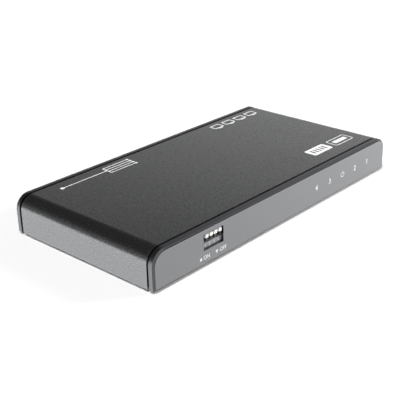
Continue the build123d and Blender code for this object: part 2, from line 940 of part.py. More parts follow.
def make_splitter_chip():
    """The square chip under the heat sink."""
    return chip(chip_size, chip_size, board_top, chip_thickness, 0, sink_y)


def make_thermal_pad():
    """The soft pad between the chip and its heat sink."""
    low = board_top + chip_thickness
    return along_z(Pos(0, sink_y) * Rectangle(chip_size, chip_size), low, low + pad_thickness)


def make_heat_sink():
    """The finned heat sink on the chip, its fins running front to rear."""
    low = board_top + chip_thickness + pad_thickness
    top = underside - sink_top_gap
    sink = along_z(Pos(0, sink_y) * Rectangle(sink_width, sink_depth), low, low + sink_base)
    pitch = (sink_width - sink_fin_thickness) / (sink_fins - 1)
    for place in range(sink_fins):
        x = (place - (sink_fins - 1) / 2) * pitch
        fin = Pos(x, sink_y) * Rectangle(sink_fin_thickness, sink_depth)
        sink += along_z(fin, low + sink_base, top)
    return sink


def make_small_chips(places):
    """Small leaded chips' bodies, each a little above the board."""
    low = board_top + small_chip_lift
    return [
        chip(small_chip_length, small_chip_width, low, small_chip_thickness, x, y) for x, y in places
    ]


def make_chip_leads():
    """The bent leads of every small chip."""
    middle = board_top + small_chip_lift + small_chip_thickness / 2
    leads = []
    for x, y in [place for places in small_chips_at.values() for place in places]:
        for side in (-1, 1):
            root = y + side * small_chip_width / 2
            knee = root + side * (lead_reach / 2)
            toe = root + side * lead_reach
            sheet = side * lead_sheet
            outline = Polygon(
                (root, middle + lead_sheet),
                (knee, middle + lead_sheet),
                (toe, board_top),
                (toe - sheet, board_top),
                (knee - sheet, middle),
                (root, middle),
                align=None,
            )
            for place in range(lead_count):
                at = x + (place - (lead_count - 1) / 2) * lead_pitch
                leads.append(along_x(outline, at - lead_width / 2, at + lead_width / 2))
    return leads


def make_coils():
    """Two moulded power inductors, square with cut corners, waisted at half height."""
    coils = []
    for y in row_y:
        square = Rectangle(coil_size, coil_size)
        square = chamfer(square.vertices(), coil_corner)
        waist = offset(square, -coil_neck)
        third = coil_height / 3
        coil = along_z(Pos(jack_x, y) * square, board_top, board_top + third)
        coil += along_z(Pos(jack_x, y) * waist, board_top + third, board_top + 2 * third)
        upper = along_z(Pos(jack_x, y) * square, board_top + 2 * third, board_top + coil_height)
        coils.append(coil + upper)
    return coils


def make_capacitors():
    """Two can capacitors on their moulded bases, whose two cut corners mark a pole."""
    cans = []
    for y in row_y:
        square = Rectangle(can_base, can_base)
        square = chamfer(square.vertices().group_by(Axis.Y)[-1], can_base_corner)
        base_top_z = board_top + can_base_height
        can = rod(can_radius, can_x, y, base_top_z, board_top + can_height)
        cans.append(can + along_z(Pos(can_x, y) * square, board_top, base_top_z))
    return cans


def make_crystal():
    """The clock crystal's drawn can."""
    can = SlotOverall(crystal_length, crystal_width)
    return along_z(Pos(crystal_x, sink_y) * can, board_top, board_top + crystal_height)


def build():
    """Every node's solids by name."""
    nodes = {
        "top_cover": make_top_cover(),
        "base_plate": make_base_plate(),
        "front_bezel": make_front_bezel(),
        "front_panel": make_front_panel(),
        "rear_bezel": make_rear_bezel(),
        "rear_panel": make_rear_panel(),
        "main_board": make_main_board(),
        "board_standoffs": make_standoffs(),
        "board_screws": make_board_screws(),
        "case_screws": make_case_screws(),
        "power_jack_housing": make_jack_housing(),
        "power_jack_pin": make_jack_pin(),
        "power_jack_spring": make_jack_spring(),
        "power_jack_terminals": [jack_terminal(x, y) for x, y in jack_terminal_places()],
        "lamps": make_lamps(),
        "guide_holder": make_guide_holder(),
        "splitter_chip": make_splitter_chip(),
        "thermal_pad": make_thermal_pad(),
        "heat_sink": make_heat_sink(),
        "chip_leads": make_chip_leads(),
        "power_inductors": make_coils(),
        "capacitors": make_capacitors(),
        "clock_crystal": make_crystal(),
    }
    for name, (x, y) in feet_at.items():
        nodes[name] = make_foot(x, y)
    for name, x in sockets_at.items():
        contacts = make_contacts(x)
        nodes[f"{name}_shell"] = make_shell(x)
        nodes[f"{name}_insulator"] = make_insulator(x, contacts)
        nodes[f"{name}_contacts"] = contacts
    terminals = switch_terminals()
    nodes["switch_housing"] = make_switch_housing()
    nodes["switch_base"] = make_switch_base(terminals)
    nodes["switch_terminals"] = terminals
    for way, x in enumerate(ways_at, start=1):
        nodes[f"switch_slider_{way}"] = make_slider(x)
    for name, x in lamps_at.items():
        nodes[f"light_guide_{name}"] = make_light_guide(x)
    for name, places in small_chips_at.items():
        nodes[name] = make_small_chips(places)
    return nodes


def solids_of(shape):
    """The solids in a node, whether it is one shape or a list of them."""
    shapes = shape if isinstance(shape, list) else [shape]
    return [solid for each in shapes for solid in each.solids()]


os.makedirs("parts", exist_ok=True)
for node_name, node_shape in build().items():
    export_step(Compound(children=solids_of(node_shape)), f"parts/{node_name}.step")
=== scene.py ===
"""Finishes, printed marks and stage of a video splitter with one input and four outputs.

Lengths are in metres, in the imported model's own frame: X along the front, Y to the rear, Z up.
"""

import math

import bmesh
import bpy
from mathutils import Matrix, Vector


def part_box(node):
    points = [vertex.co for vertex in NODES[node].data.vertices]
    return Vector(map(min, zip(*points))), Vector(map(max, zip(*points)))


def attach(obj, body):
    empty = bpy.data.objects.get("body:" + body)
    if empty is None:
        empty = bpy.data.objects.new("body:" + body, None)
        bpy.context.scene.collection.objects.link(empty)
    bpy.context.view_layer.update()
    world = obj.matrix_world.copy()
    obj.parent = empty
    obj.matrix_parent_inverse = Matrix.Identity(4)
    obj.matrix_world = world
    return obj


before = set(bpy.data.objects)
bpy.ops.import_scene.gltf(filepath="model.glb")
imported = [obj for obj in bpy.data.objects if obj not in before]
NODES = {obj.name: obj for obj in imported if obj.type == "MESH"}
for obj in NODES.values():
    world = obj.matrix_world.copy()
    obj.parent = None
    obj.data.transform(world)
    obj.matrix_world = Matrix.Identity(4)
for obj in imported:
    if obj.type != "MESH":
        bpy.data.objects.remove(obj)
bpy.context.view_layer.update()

bl_info = {
    "name": "Video splitter finishes",
    "version": (1, 0, 0),
    "blender": (4, 5, 0),
    "location": "3D view > Sidebar > Splitter",
    "description": "Dresses a slim video splitter in its finishes and prints, and sets its stage",
    "category": "Object",
}

MM = 0.001
SOCKETS = ("video_out_4", "video_out_3", "video_in", "video_out_2", "video_out_1")
WAYS = (1, 2, 3, 4)
LEGEND = ("4", "3", "power", "2", "1")
PANEL_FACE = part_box("front_panel")[0][1]
COVER_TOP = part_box("top_cover")[1][2]
SWITCH_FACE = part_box("switch_housing")[0][1]

# Faces that meet at more than this keep their edge.
CREASE = math.radians(35)
# Faces that meet at less than this are one flat face.
FLAT = math.radians(0.5)
# Corners nearer to each other than this are one corner.
JOIN_REACH = 0.001 * MM
# Most of a noise pattern lies between these two values.
NOISE_LOW, NOISE_HIGH = 0.3, 0.7
# The patches of uneven gloss are this many times as wide as the grain.
DRIFT = 30
# A colour mix's sockets by number, since its other kinds have sockets of the same names.
MIX_SHARE, MIX_FROM, MIX_TO, MIXED = 0, 6, 7, 2


def srgb(code):
    """The linear colour of an sRGB hex value, by that standard's own curve."""
    parts = [int(code[place : place + 2], 16) / 255 for place in (1, 3, 5)]
    return [part / 12.92 if part <= 0.04045 else ((part + 0.055) / 1.055) ** 2.4 for part in parts]


def tone(base, share=1.0):
    """A colour made darker or lighter by a share, as a colour socket takes it."""
    return [min(1.0, part * share) for part in base] + [1.0]


def colour(code, title, description):
    """A colour that a user may change."""
    return bpy.props.FloatVectorProperty(
        name=title, description=description, default=srgb(code),
        subtype="COLOR", size=3, min=0, max=1,
    )


def length(default, title, description):
    """A length that a user may change."""
    return bpy.props.FloatProperty(
        name=title, description=description, default=default,
        unit="LENGTH", subtype="DISTANCE", min=0,
    )


def power(default, title, description):
    """A lamp's strength that a user may change."""
    return bpy.props.FloatProperty(name=title, description=description, default=default, min=0)


class CaseLooks(bpy.types.PropertyGroup):
    """The case's finishes."""

    anodising: colour("#A1A2A4", "Anodising", "Colour of the cover's blasted and anodised metal")
    panel: colour("#7C7D7F", "Panel", "Colour of the two end panels")
    lacquer: colour("#8E8F91", "Bezel lacquer", "Colour of the lacquer on the bezels' outer faces")
    # The bevel's darker colour is painted shade: it stands in for the darker reflection that the
    # bevel catches.
    rim: colour("#535456", "Bezel rim", "Colour of the lacquer on the bevel round each panel")
    # The plug's colour is partly bare plastic and partly painted shade, darkening the groove
    # between bezel and cover.
    seam: colour("#707173", "Seam", "Colour of the bezels where they plug into the cover")
    rubber: colour("#1B1B1C", "Rubber", "Colour of the feet")
    grit: length(0.5 * MM, "Grain", "Width of the blasted grain on the cover")
    edge: length(0.1 * MM, "Edge", "Width of the rounded edge, which each piece takes a share of")
    # These two lengths bound the bezel's painted shade: the darker bevel at its face and the
    # darker plug behind.
    rim_depth: length(0.46 * MM, "Rim depth", "How far behind a bezel's face its rim ends")
    seam_depth: length(2.3 * MM, "Seam depth", "How far behind a bezel's face its seam begins")


class PrintLooks(bpy.types.PropertyGroup):
    """The printed marks."""

    ink: colour("#E9EAEA", "Ink", "Colour of the marks")
    thickness: length(0.015 * MM, "Thickness", "How far a mark stands out from its surface")
    legend_height: length(2.5 * MM, "Legend height", "Height of the lamps' numbers")
    legend_rise: length(8.9 * MM, "Legend rise", "Middle of the lamps' numbers above the floor")
    way_height: length(1.25 * MM, "Way height", "Height of the switch's numbers")
    way_rise: length(8.35 * MM, "Way rise", "Middle of the switch's numbers above the floor")
    band: colour("#8F9091", "Band", "Colour of the switch behind its numbers")
    band_height: length(2.1 * MM, "Band height", "Height of the pale band behind those numbers")
    band_lift: length(0.3 * MM, "Band lift", "Middle of the pale band above those numbers' middle")


class StageLooks(bpy.types.PropertyGroup):
    """The floor and its light."""

    floor: colour("#F7F7F7", "Floor", "Colour of the floor")
    size: length(20.0, "Size", "Width of the floor")
    key: power(3.5, "Key light", "Strength of the soft sun")
    fill: power(1.0, "Fill light", "Power of the lamp at the front right")


def add(tree, kind, inputs=(), **settings):
    """Adds a node with its settings; each input is given a value or a link.

    An input goes by its name, or by its number where several share one name.
    """
    node = tree.nodes.new(kind)
    for name, value in settings.items():
        setattr(node, name, value)
    for name, value in dict(inputs).items():
        if isinstance(value, bpy.types.NodeSocket):
            tree.links.new(value, node.inputs[name])
        else:
            node.inputs[name].default_value = value
    return node


def surface(name):
    """A new material, its node tree, and the place in Object coordinates for its patterns."""
    material = bpy.data.materials.new(name)
    material.use_nodes = True
    material.node_tree.nodes.clear()
    place = add(material.node_tree, "ShaderNodeTexCoord").outputs["Object"]
    return material, material.node_tree, place


def grained(name, base, metallic, roughness, grain, relief, shade=0.06, uneven=0.04, **sockets):
    """A surface whose grain shades its colour and relief, and whose gloss is a little uneven."""
    material, tree, place = surface(name)
    cloud = add(tree, "ShaderNodeTexNoise", {"Vector": place, "Scale": 1 / grain})
    fine = {"Value": cloud.outputs["Fac"], "From Min": NOISE_LOW, "From Max": NOISE_HIGH}
    fine = add(tree, "ShaderNodeMapRange", fine).outputs["Result"]
    drift = add(tree, "ShaderNodeTexNoise", {"Vector": place, "Scale": 1 / (DRIFT * grain)})
    gloss = {
        "Value": drift.outputs["Fac"], "From Min": NOISE_LOW, "From Max": NOISE_HIGH,
        "To Min": roughness - uneven, "To Max": roughness + uneven,
    }
    tones = {MIX_SHARE: fine, MIX_FROM: tone(base, 1 - shade), MIX_TO: tone(base, 1 + shade)}
    bump = add(tree, "ShaderNodeBump", {"Height": fine, "Distance": relief})
    shader = add(tree, "ShaderNodeBsdfPrincipled", {
        "Base Color": add(tree, "ShaderNodeMix", tones, data_type="RGBA").outputs[MIXED],
        "Metallic": metallic,
        "Roughness": add(tree, "ShaderNodeMapRange", gloss).outputs["Result"],
        "Normal": bump.outputs["Normal"],
        **sockets,
    })
    add(tree, "ShaderNodeOutputMaterial", {"Surface": shader.outputs["BSDF"]})
    return material


def soften(node, edge):
    """Joins a CAD piece's triangles and smooths its round faces; edge rounds its edges."""
    node.data.shade_smooth()
    node.modifiers.new("Join", "WELD").merge_threshold = JOIN_REACH
    if edge:
        flat = node.modifiers.new("Flat faces", "DECIMATE")
        flat.decimate_type = "DISSOLVE"
        flat.angle_limit = FLAT
        bevel = node.modifiers.new("Edges", "BEVEL")
        bevel.width = edge
        bevel.segments = 2
        bevel.angle_limit = CREASE
        bevel.use_clamp_overlap = False
        node.modifiers.new("Level faces", "WEIGHTED_NORMAL").weight = 100
    else:
        node.modifiers.new("Creases", "EDGE_SPLIT").split_angle = CREASE


def dress(material, *names, edge=0.0):
    """Gives CAD nodes their finish."""
    for name in names:
        node = NODES[name]
        node.data.materials.clear()
        node.data.materials.append(material)
        soften(node, edge)


def baked(holder):
    """The mesh that an object's curve or modifiers give; the object is removed."""
    bpy.context.collection.objects.link(holder)
    graph = bpy.context.evaluated_depsgraph_get()
    mesh = bpy.data.meshes.new_from_object(holder.evaluated_get(graph))
    bpy.data.objects.remove(holder)
    return mesh


def piece(name, meshes, material, body="case"):
    """One object from several meshes, riding on a body."""
    build = bmesh.new()
    for mesh in meshes:
        build.from_mesh(mesh)
    whole = bpy.data.meshes.new(name)
    build.to_mesh(whole)
    build.free()
    whole.materials.append(material)
    whole.shade_flat()
    made = bpy.data.objects.new(name, whole)
    bpy.context.collection.objects.link(made)
    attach(made, body)
    return made


def facing_front(x, z, setback=0.0):
    """The place of a mark with its middle at x and z, on the panel or set back behind it."""
    looks = bpy.context.scene.print_looks
    return Matrix((
        (1, 0, 0, x),
        (0, 0, -1, PANEL_FACE - looks.thickness / 2 + setback),
        (0, 1, 0, z),
        (0, 0, 0, 1),
    ))


def facing_up(x, y):
    """The place of a mark on the cover, read from the front, with its middle at x and y."""
    looks = bpy.context.scene.print_looks
    return Matrix.Translation((x, y, COVER_TOP + looks.thickness / 2))


def flat_mesh(outlines, place):
    """A thin filled mark from closed outlines; an outline inside another is a hole."""
    sheet = bpy.data.curves.new("outlines", "CURVE")
    sheet.dimensions = "2D"
    sheet.fill_mode = "BOTH"
    sheet.extrude = bpy.context.scene.print_looks.thickness / 2
    for outline in outlines:
        spline = sheet.splines.new("POLY")
        spline.points.add(len(outline) - 1)
        for point, (x, y) in zip(spline.points, outline):
            point.co = (x, y, 0, 1)
        spline.use_cyclic_u = True
    mesh = baked(bpy.data.objects.new("outlines", sheet))
    mesh.transform(place)
    return mesh


def text_mesh(words, height, place):
    """A thin printed word or number of the given height, centred on its place."""
    text = bpy.data.curves.new("words", "FONT")
    text.body = words
    text.extrude = bpy.context.scene.print_looks.thickness / 2
    mesh = baked(bpy.data.objects.new("words", text))
    lows = [min(vertex.co[axis] for vertex in mesh.vertices) for axis in (0, 1)]
    highs = [max(vertex.co[axis] for vertex in mesh.vertices) for axis in (0, 1)]
    scale = height / (highs[1] - lows[1])
    middle = Matrix.Translation((-(lows[0] + highs[0]) / 2, -(lows[1] + highs[1]) / 2, 0))
    mesh.transform(place @ Matrix.Diagonal((scale, scale, 1, 1)) @ middle)
    return mesh


def number_mesh(number, height, place):
    """A printed number; the font's 1 is a bare stroke, so it is drawn here with its flag.

    Its outline is given in shares of the height.
    """
    if number != "1":
        return text_mesh(number, height, place)
    stroke = [(0.0, -0.5), (0.13, -0.5), (0.13, 0.5), (0.03, 0.5)]
    flag = [(-0.18, 0.36), (-0.18, 0.24), (0.0, 0.34)]
    return flat_mesh([[(x * height, y * height) for x, y in stroke + flag]], place)


def rounded(width, height, corner, x=0.0, y=0.0):
    """A rectangle's outline with round corners, its middle at x and y."""
    steps = 6
    outline = []
    for quarter in range(4):
        start = quarter * math.pi / 2
        side_x = 1 if quarter in (0, 3) else -1
        side_y = 1 if quarter in (0, 1) else -1
        turn_x = x + side_x * (width / 2 - corner)
        turn_y = y + side_y * (height / 2 - corner)
        for step in range(steps + 1):
            angle = start + step * math.pi / 2 / steps
            outline.append((turn_x + corner * math.cos(angle), turn_y + corner * math.sin(angle)))
    return outline


def frame_outline(width, height, corner, stroke):
    """The two outlines of a rounded frame."""
    inner_corner = max(corner - stroke, corner / 4)
    inner = rounded(width - 2 * stroke, height - 2 * stroke, inner_corner)
    return [rounded(width, height, corner), inner]


def arc_band(radius, stroke, start, end):
    """An open ring's outline, from one angle to another in degrees."""
    steps = 28
    angles = [math.radians(start + (end - start) * step / steps) for step in range(steps + 1)]
    outer, inner = (
        [(reach * math.cos(angle), reach * math.sin(angle)) for angle in angles]
        for reach in (radius + stroke / 2, radius - stroke / 2)
    )
    return outer + inner[::-1]


def row_tree():
    """A row of copies of a small piece: named inputs give their number, spacing and finish."""
    tree = bpy.data.node_groups.new("Row of copies", "GeometryNodeTree")
    for title, direction, kind in (
        ("Geometry", "INPUT", "NodeSocketGeometry"),
        ("Count", "INPUT", "NodeSocketInt"),
        ("Spacing", "INPUT", "NodeSocketVector"),
        ("Finish", "INPUT", "NodeSocketMaterial"),
        ("Geometry", "OUTPUT", "NodeSocketGeometry"),
    ):
        tree.interface.new_socket(name=title, in_out=direction, socket_type=kind)
    given = add(tree, "NodeGroupInput").outputs
    ends = {"Count": given["Count"], "Offset": given["Spacing"]}
    line = add(tree, "GeometryNodeMeshLine", ends, mode="OFFSET")
    copies = {"Points": line.outputs["Mesh"], "Instance": given["Geometry"]}
    copied = add(tree, "GeometryNodeInstanceOnPoints", copies)
    real = add(tree, "GeometryNodeRealizeInstances", {"Geometry": copied.outputs["Instances"]})
    finished = {"Geometry": real.outputs["Geometry"], "Material": given["Finish"]}
    done = add(tree, "GeometryNodeSetMaterial", finished)
    add(tree, "NodeGroupOutput", {"Geometry": done.outputs["Geometry"]})
    return tree


def row(mesh, count, spacing, material):
    """The mesh of a row of copies."""
    holder = bpy.data.objects.new("row", mesh)
    repeat = holder.modifiers.new("Row", "NODES")
    repeat.node_group = bpy.data.node_groups.get("Row of copies") or row_tree()
    values = {"Count": count, "Spacing": spacing, "Finish": material}
    for item in repeat.node_group.interface.items_tree:
        if item.in_out == "INPUT" and item.name in values:
            repeat[item.identifier] = values[item.name]
    return baked(holder)


def box_mesh(low, high):
    """A box between two corners."""
    build = bmesh.new()
    bmesh.ops.create_cube(build, size=1)
    size = Vector(high) - Vector(low)
    middle = (Vector(high) + Vector(low)) / 2
    place = Matrix.Translation(middle) @ Matrix.Diagonal((*size, 1))
    bmesh.ops.transform(build, matrix=place, verts=build.verts)
    mesh = bpy.data.meshes.new("box")
    build.to_mesh(mesh)
    build.free()
    return mesh


def middle_of(node):
    """The middle of a CAD node's box."""
    low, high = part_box(node)
    return [(a + b) / 2 for a, b in zip(low, high)]


def ink():
    """Screen-printing ink: off-white and a little rough, so it is even where the metal shines."""
    found = bpy.data.materials.get("screen_printed_ink")
    return found or grained(
        "screen_printed_ink", bpy.context.scene.print_looks.ink, metallic=0.0, roughness=0.5,
        grain=0.2 * MM, relief=0.002 * MM, shade=0.03,
    )


class SPLITTER_OT_case(bpy.types.Operator):
    """Finishes the cover, the base plate, the bezels, the panels, the screws and the feet"""

    bl_idname = "splitter.case"
    bl_label = "Case"

    def execute(self, context):
        looks = context.scene.case_looks
        # Glass-bead blasted, then anodised: the pits spread reflections into a dark satin with a
        # fine sparkle. Real pits are about 0.1 mm wide; these are wider, so that they show.
        cover = grained(
            "bead_blasted_anodised_aluminium", looks.anodising, metallic=1.0, roughness=0.24,
            grain=looks.grit, relief=0.01 * MM, shade=0.32, uneven=0.01,
            **{"Coat Weight": 0.3, "Coat Roughness": 0.24},
        )
        dress(cover, "top_cover", edge=0.3 * looks.edge)
        # Fine-blasted and anodised sheet: no grain can be seen, only a soft even sheen.
        panel = grained(
            "satin_anodised_panel", looks.panel, metallic=1.0, roughness=0.24,
            grain=0.3 * MM, relief=0.0015 * MM, shade=0.03, uneven=0.005,
            **{"Coat Weight": 0.6, "Coat Roughness": 0.18},
        )
        dress(panel, "front_panel", "rear_panel", edge=0.6 * looks.edge)
        dress(bezel_lacquer(looks), "front_bezel", "rear_bezel", edge=0.35 * looks.edge)
        # Powder coat on steel: orange-peel ripples about a millimetre wide under a soft gloss.
        coat = grained(
            "powder_coated_steel", srgb("#232325"), metallic=0.0, roughness=0.45,
            grain=0.9 * MM, relief=0.03 * MM, shade=0.1,
        )
        dress(coat, "base_plate")
        # Black oxide on steel: nearly black metal with an oily sheen.
        oxide = grained(
            "black_oxide_steel", srgb("#3A3A3C"), metallic=1.0, roughness=0.38,
            grain=0.15 * MM, relief=0.004 * MM, shade=0.15,
        )
        dress(oxide, "case_screws")
        # Moulded rubber: matt and faintly dusty, with hardly a highlight.
        rubber = grained(
            "moulded_rubber", looks.rubber, metallic=0.0, roughness=0.85,
            grain=0.3 * MM, relief=0.02 * MM, shade=0.2,
        )
        dress(rubber, "foot_front_left", "foot_front_right", "foot_rear_left", "foot_rear_right")
        return {"FINISHED"}


def bezel_lacquer(looks):
    """Metallic lacquer on moulded ABS: satin. The bevel round each panel is painted darker as
    painted shade, and where the bezel plugs into the cover it is bare plastic darkened further
    with painted shade.
    """
    material, tree, place = surface("metallic_lacquer_on_abs")
    flake, shade, relief = 0.35 * MM, 0.06, 0.004 * MM
    face = abs(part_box("front_bezel")[0][1])
    along = add(tree, "ShaderNodeSeparateXYZ", {"Vector": place}).outputs["Y"]
    reach = add(tree, "ShaderNodeMath", {0: along}, operation="ABSOLUTE").outputs["Value"]
    # Mask of the plug behind the bezel: bare plastic, darkened further with painted shade for the
    # groove.
    behind = {0: reach, 1: face - looks.seam_depth}
    seam = add(tree, "ShaderNodeMath", behind, operation="LESS_THAN").outputs["Value"]
    # Mask of the bevel round the panel, which takes the painted shade colour.
    before = {0: reach, 1: face - looks.rim_depth}
    rim = add(tree, "ShaderNodeMath", before, operation="GREATER_THAN").outputs["Value"]
    flakes = add(tree, "ShaderNodeTexNoise", {"Vector": place, "Scale": 1 / flake}).outputs["Fac"]
    dull, bright = tone(looks.lacquer, 1 - shade), tone(looks.lacquer, 1 + shade)
    tones = {MIX_SHARE: flakes, MIX_FROM: dull, MIX_TO: bright}
    sprayed = add(tree, "ShaderNodeMix", tones, data_type="RGBA").outputs[MIXED]
    tones = {MIX_SHARE: rim, MIX_FROM: sprayed, MIX_TO: tone(looks.rim)}
    outside = add(tree, "ShaderNodeMix", tones, data_type="RGBA").outputs[MIXED]
    tones = {MIX_SHARE: seam, MIX_FROM: outside, MIX_TO: tone(looks.seam)}
    gloss = {"Value": flakes, "To Min": 0.28, "To Max": 0.36}
    bump = add(tree, "ShaderNodeBump", {"Height": flakes, "Distance": relief})
    shader = add(tree, "ShaderNodeBsdfPrincipled", {
        "Base Color": add(tree, "ShaderNodeMix", tones, data_type="RGBA").outputs[MIXED],
        "Metallic": 1.0,
        "Roughness": add(tree, "ShaderNodeMapRange", gloss).outputs["Result"],
        "Normal": bump.outputs["Normal"],
        "Coat Weight": 0.25,
        "Coat Roughness": 0.25,
    })
    add(tree, "ShaderNodeOutputMaterial", {"Surface": shader.outputs["BSDF"]})
    return material


class SPLITTER_OT_sockets(bpy.types.Operator):
    """Finishes the video sockets"""

    bl_idname = "splitter.sockets"
    bl_label = "Video sockets"

    def execute(self, context):
        # Bright nickel on pressed steel: a warm silver whose reflections are a little broken.
        nickel = grained(
            "nickel_plated_steel", srgb("#C9C6BF"), metallic=1.0, roughness=0.24,
            grain=0.12 * MM, relief=0.002 * MM, shade=0.06,
        )
        dress(nickel, *[f"{name}_shell" for name in SOCKETS])
        # Glass-filled nylon: black, with the dull speckle of fibre ends at its surface.
        nylon = grained(
            "glass_filled_nylon", srgb("#1A1A1B"), metallic=0.0, roughness=0.55,
            grain=0.12 * MM, relief=0.01 * MM, shade=0.25,
        )
        dress(nylon, *[f"{name}_insulator" for name in SOCKETS])
        # Flash gold over nickel: a pale, even yellow.
        gold = grained(
            "flash_gold_plating", srgb("#E6C36A"), metallic=1.0, roughness=0.22,
            grain=0.05 * MM, relief=0.001 * MM, shade=0.05,
        )
        dress(gold, *[f"{name}_contacts" for name in SOCKETS])
        return {"FINISHED"}


class SPLITTER_OT_power_jack(bpy.types.Operator):
    """Finishes the power jack"""

    bl_idname = "splitter.power_jack"
    bl_label = "Power jack"

    def execute(self, context):
        # Spark-eroded mould: black and fine-grained, slightly glossier than the sockets' nylon.
        moulding = grained(
            "spark_grained_plastic", srgb("#1D1D1F"), metallic=0.0, roughness=0.42,
            grain=0.15 * MM, relief=0.006 * MM, shade=0.12,
        )
        dress(moulding, "power_jack_housing")
        # Nickel on brass: silver with a faint yellow warmth where the plating is thin.
        brass = grained(
            "nickel_plated_brass", srgb("#CFC9B6"), metallic=1.0, roughness=0.2,
            grain=0.1 * MM, relief=0.001 * MM, shade=0.05,
        )
        dress(brass, "power_jack_pin", "power_jack_spring")
        return {"FINISHED"}


class SPLITTER_OT_switch(bpy.types.Operator):
    """Finishes the slide switch, and prints its numbers and its two positions"""

    bl_idname = "splitter.switch"
    bl_label = "Slide switch"

    def execute(self, context):
        looks = context.scene.print_looks
        dress(switch_body(looks), "switch_housing", edge=0.06 * MM)
        # Moulded thermoplastic with a fine texture: dark grey, even, hardly shiny.
        plastic = grained(
            "textured_thermoplastic", srgb("#4B4C4D"), metallic=0.0, roughness=0.5,
            grain=0.2 * MM, relief=0.008 * MM, shade=0.12,
        )
        dress(plastic, "switch_base")
        # Acetal: white and waxy, a little light goes in and comes out softened.
        acetal = grained(
            "white_acetal", srgb("#F4F4F1"), metallic=0.0, roughness=0.38,
            grain=0.2 * MM, relief=0.003 * MM, shade=0.03,
            **{"Subsurface Weight": 0.15, "Subsurface Scale": 0.4 * MM},
        )
        dress(acetal, *[f"switch_slider_{way}" for way in WAYS], edge=0.08 * MM)
        dress(tin_plate(), "switch_terminals")
        self.print_numbers(looks)
        self.print_positions()
        return {"FINISHED"}

    def print_numbers(self, looks):
        """Numbers the sliders, on the housing's own face."""
        numbers = []
        for way in WAYS:
            x = middle_of(f"switch_slider_{way}")[0]
            place = facing_front(x, looks.way_rise, SWITCH_FACE - PANEL_FACE)
            numbers.append(number_mesh(str(way), looks.way_height, place))
        piece("switch_numbers", numbers, ink())

    def print_positions(self):
        """Prints what up and down mean under the switch: a triangle and a word for each."""
        x = middle_of("switch_housing")[0]
        rise, word_height = 4.5 * MM, 1.6 * MM
        half_base, base, tip = 0.75 * MM, -0.6 * MM, 0.75 * MM
        triangle = [(-half_base, base), (half_base, base), (0, tip)]
        turned = [(-px, -py) for px, py in triangle]
        up_x, on_x, down_x, off_x = x - 7.4 * MM, x - 4.2 * MM, x + 1.6 * MM, x + 5.4 * MM
        marks = [
            flat_mesh([triangle], facing_front(up_x, rise)),
            text_mesh("ON", word_height, facing_front(on_x, rise)),
            flat_mesh([turned], facing_front(down_x, rise)),
            text_mesh("OFF", word_height, facing_front(off_x, rise)),
        ]
        piece("switch_position_marks", marks, ink())


def switch_body(looks):
    """Finely textured thermoplastic, pale behind the numbers; elsewhere its dark colour is painted
    shade, for the slots' recess and the window's foot.
    """
    material, tree, place = surface("thermoplastic_with_painted_shade")
    # The dark colour is painted shade: the shade in the slots' recess above the pale band, and the
    # shadow along the window's foot below it.
    texture, relief, dark = 0.2 * MM, 0.006 * MM, tone(srgb("#505152"))
    height = add(tree, "ShaderNodeSeparateXYZ", {"Vector": place}).outputs["Z"]
    around = {0: height, 1: looks.way_rise + looks.band_lift, 2: looks.band_height / 2}
    pale = add(tree, "ShaderNodeMath", around, operation="COMPARE").outputs["Value"]
    grain = add(tree, "ShaderNodeTexNoise", {"Vector": place, "Scale": 1 / texture}).outputs["Fac"]
    # Outside the pale band the housing takes the painted shade colour.
    tones = {MIX_SHARE: pale, MIX_FROM: dark, MIX_TO: tone(looks.band)}
    bump = add(tree, "ShaderNodeBump", {"Height": grain, "Distance": relief})
    shader = add(tree, "ShaderNodeBsdfPrincipled", {
        "Base Color": add(tree, "ShaderNodeMix", tones, data_type="RGBA").outputs[MIXED],
        "Roughness": 0.5,
        "Normal": bump.outputs["Normal"],
    })
    add(tree, "ShaderNodeOutputMaterial", {"Surface": shader.outputs["BSDF"]})
    return material


def tin_plate():
    """Tin plate: a soft grey-white metal, duller than nickel, with cloudy patches."""
    found = bpy.data.materials.get("tin_plate")
    return found or grained(
        "tin_plate", srgb("#BFC0BD"), metallic=1.0, roughness=0.34,
        grain=0.12 * MM, relief=0.003 * MM, shade=0.1,
    )


class SPLITTER_OT_lamps(bpy.types.Operator):
    """Finishes the lamps and their light guides, and prints the legend in front of them"""

    bl_idname = "splitter.lamps"
    bl_label = "Lamps and legend"

    def execute(self, context):
        # Acrylic: clear and glossy, seen only as bright edges.
        clear = grained(
            "clear_acrylic", srgb("#EDEFF0"), metallic=0.0, roughness=0.08,
            grain=0.5 * MM, relief=0.0005 * MM, shade=0.01, uneven=0.02,
            **{"Transmission Weight": 0.9, "IOR": 1.49},
        )
        dress(clear, *[f"light_guide_{name}" for name in LEGEND])
        # Phosphor in silicone: matt yellow, unlit.
        phosphor = grained(
            "unlit_phosphor", srgb("#E5D27A"), metallic=0.0, roughness=0.6,
            grain=0.1 * MM, relief=0.004 * MM, shade=0.1,
        )
        dress(phosphor, "lamps")
        # White nylon: slightly yellow and satin, with a faint mottle.
        nylon = grained(
            "white_nylon", srgb("#DDDCD6"), metallic=0.0, roughness=0.5,
            grain=0.2 * MM, relief=0.006 * MM, shade=0.05,
        )
        dress(nylon, "guide_holder")
        self.print_legend(context.scene.print_looks)
        return {"FINISHED"}

    def print_legend(self, looks):
        """Prints each lamp's number, or the power symbol, in front of its light guide."""
        symbol_radius = 0.47 * looks.legend_height
        marks = []
        for name in LEGEND:
            place = facing_front(middle_of(f"light_guide_{name}")[0], looks.legend_rise)
            if name == "power":
                marks += power_symbol(symbol_radius, place)
            else:
                marks.append(number_mesh(name, looks.legend_height, place))
        piece("legend_marks", marks, ink())


def power_symbol(radius, place):
    """The standard power symbol: an open ring with a bar in its gap at the top."""
    stroke, top, half_gap = radius * 0.21, 90, 38
    ring = arc_band(radius, stroke, top + half_gap, top + 360 - half_gap)
    bar_height, bar_corner, bar_rise = radius * 1.05, stroke * 0.4, radius * 0.75
    bar = rounded(stroke, bar_height, bar_corner, 0, bar_rise)
    return [flat_mesh([ring], place), flat_mesh([bar], place)]


